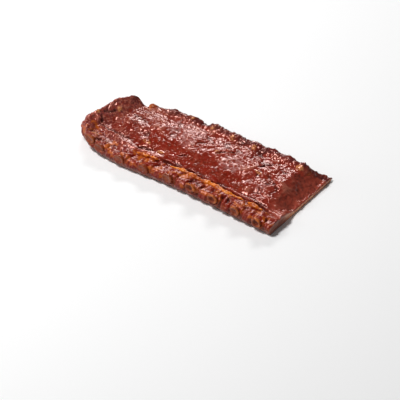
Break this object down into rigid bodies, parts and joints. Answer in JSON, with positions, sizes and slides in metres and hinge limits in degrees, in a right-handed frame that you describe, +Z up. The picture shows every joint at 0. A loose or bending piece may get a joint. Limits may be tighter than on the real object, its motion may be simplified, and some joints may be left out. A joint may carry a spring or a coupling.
{
  "type": "barbecue spareribs",
  "caption": "Rack of barbecued pork spareribs lying meat side up, with rib bones running through glazed meat and fat along a crease.",
  "frame": {"origin": "centre of the box round the rack, at the table", "axes": "+X along the rack to its carved end, +Y from the front edge with the sawn rib ends to the back edge with the rib knobs, +Z up out of the meat side"},
  "size_m": [0.3442, 0.1601, 0.0371],
  "materials": {
    "glazed_meat": "roasted meat under a sticky glaze, shiny on its lumps and matte between",
    "bone": "cooked bone, browned and glazed",
    "fat": "rendered fat under glaze, glossy"
  },
  "bodies": {
    "root": {"rack_meat": "glazed_meat", "rib_bone_1": "bone", "rib_bone_2": "bone", "rib_bone_3": "bone", "rib_bone_4": "bone", "rib_bone_5": "bone", "rib_bone_6": "bone", "rib_bone_7": "bone", "rib_bone_8": "bone", "rib_bone_9": "bone", "fat_strip_1": "fat", "fat_strip_2": "fat", "fat_strip_3": "fat"}
  },
  "joints": []
}
